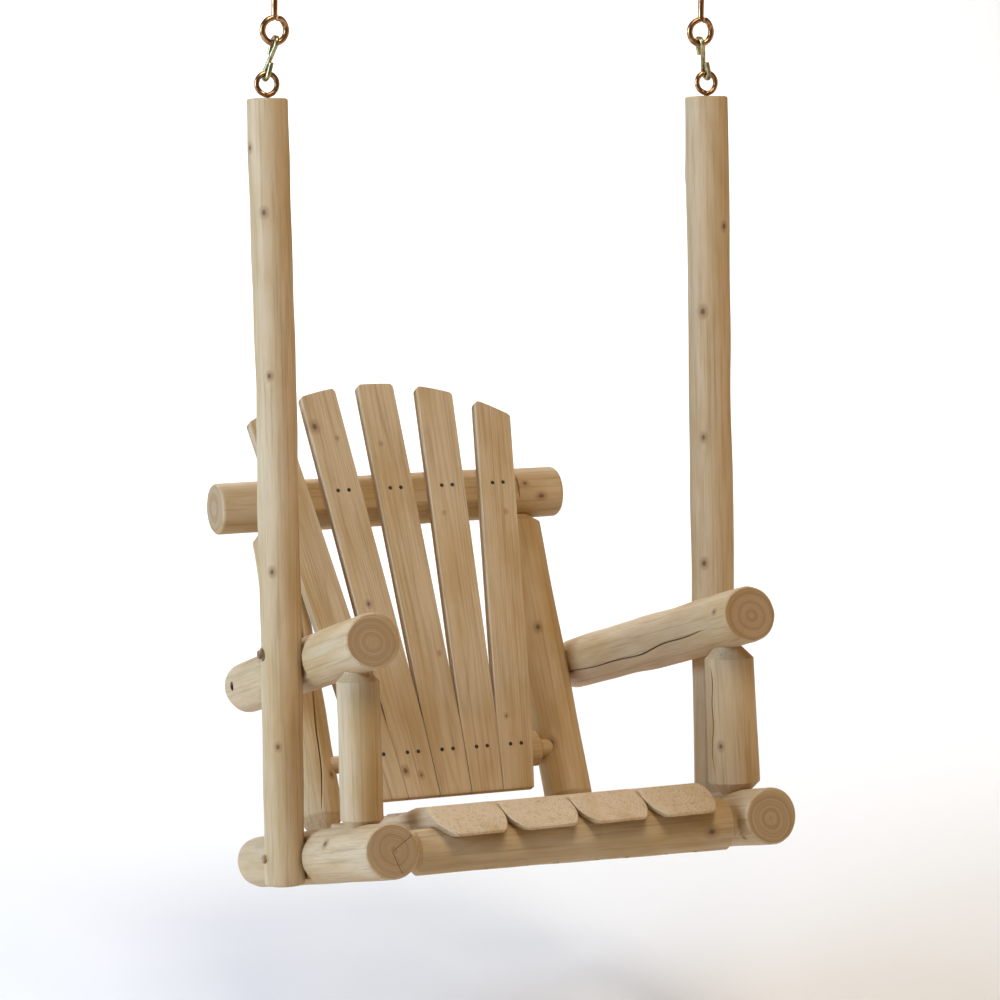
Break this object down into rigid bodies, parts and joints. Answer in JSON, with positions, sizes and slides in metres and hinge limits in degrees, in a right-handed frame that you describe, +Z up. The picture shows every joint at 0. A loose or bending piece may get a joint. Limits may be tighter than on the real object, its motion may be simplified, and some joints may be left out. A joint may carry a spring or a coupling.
{
  "type": "porch swing",
  "caption": "Single-seat porch swing chair of peeled cedar logs with a fanned slat back, hung by two tall posts from screw eyes and S-hooks.",
  "frame": {"origin": "midway between the two ceiling screws, in the plane of the beam's underside", "axes": "+Z up along the ceiling screws, -Y to the sitter's front, +X to the right of a person who faces the seat"},
  "size_m": [0.851, 0.8847, 1.5282],
  "materials": {
    "peeled_cedar": "matte",
    "sawn_cedar": "matte",
    "yellow_zinc": "satin",
    "coppered_eye": "satin",
    "zinc_fastener": "satin",
    "screw_steel": "matte"
  },
  "bodies": {
    "ceiling_mounts": {"ceiling_eye_left": "coppered_eye", "ceiling_eye_right": "coppered_eye"},
    "left_hook": {"s_hook_left": "yellow_zinc"},
    "right_hook": {"s_hook_right": "yellow_zinc"},
    "swing": {"arm_screws": "screw_steel", "armrest_left": "peeled_cedar", "armrest_right": "peeled_cedar", "back_slat_1": "sawn_cedar", "back_slat_2": "sawn_cedar", "back_slat_3": "sawn_cedar", "back_slat_4": "sawn_cedar", "back_slat_5": "sawn_cedar", "back_slat_screws": "screw_steel", "back_upright_left": "peeled_cedar", "back_upright_right": "peeled_cedar", "crest_rail": "peeled_cedar", "front_post_left": "peeled_cedar", "front_post_right": "peeled_cedar", "front_rail": "peeled_cedar", "hanger_post_left": "peeled_cedar", "hanger_post_right": "peeled_cedar", "lag_screws": "zinc_fastener", "lag_washers": "zinc_fastener", "lower_back_rail": "peeled_cedar", "post_eye_left": "coppered_eye", "post_eye_right": "coppered_eye", "rear_rail": "peeled_cedar", "seat_slat_1": "sawn_cedar", "seat_slat_2": "sawn_cedar", "seat_slat_3": "sawn_cedar", "seat_slat_4": "sawn_cedar", "seat_slat_screws": "screw_steel", "side_rail_left": "peeled_cedar", "side_rail_right": "peeled_cedar"}
  },
  "joints": [
    {"name": "left_hook_swing", "type": "hinge", "parent": "ceiling_mounts", "child": "left_hook", "pos_m": [-0.375, 0, -0.04875], "axis": [1, 0, 0], "range_deg": [-30, 30]},
    {"name": "right_hook_swing", "type": "hinge", "parent": "ceiling_mounts", "child": "right_hook", "pos_m": [0.375, 0, -0.04875], "axis": [1, 0, 0], "range_deg": [-30, 30]},
    {"name": "seat_swing", "type": "hinge", "parent": "left_hook", "child": "swing", "pos_m": [-0.3875, 0, -0.09575], "axis": [1, 0, 0], "range_deg": [-20, 20]}
  ],
  "couplings": [
    {"joint": "right_hook_swing", "follows": "left_hook_swing", "ratio": 1}
  ]
}
